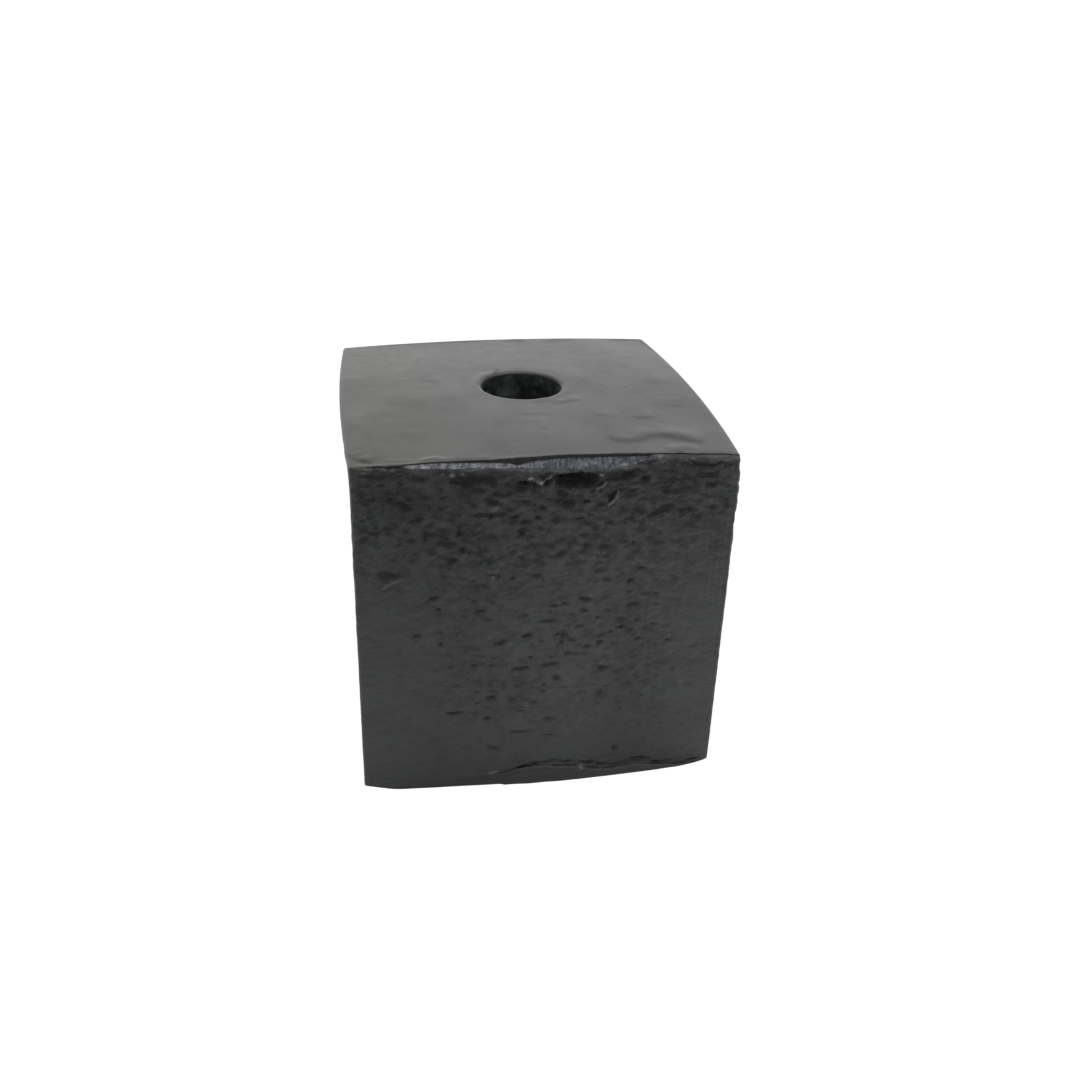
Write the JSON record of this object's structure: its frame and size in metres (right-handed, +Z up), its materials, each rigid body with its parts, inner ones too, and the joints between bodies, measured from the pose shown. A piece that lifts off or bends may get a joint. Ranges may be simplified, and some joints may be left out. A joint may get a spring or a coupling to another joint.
{
  "type": "charcoal block",
  "caption": "Squat square block of pressed charcoal with a thin black skin, a crowned top and a round hole running from the top to the underside.",
  "frame": {"origin": "middle of the underside, between the four faces, on the surface the block stands on", "axes": "+Z up along the hole, -Y towards the pitted front face with the broken top edge, +X to the right as that face is looked at"},
  "size_m": [0.0518, 0.0528, 0.0507],
  "materials": {
    "charcoal": "matte",
    "cap_film": "satin",
    "side_film": "satin",
    "base_film": "satin"
  },
  "bodies": {
    "root": {"core": "charcoal", "top_skin": "cap_film", "side_skin": "side_film", "base_skin": "base_film"}
  },
  "joints": []
}
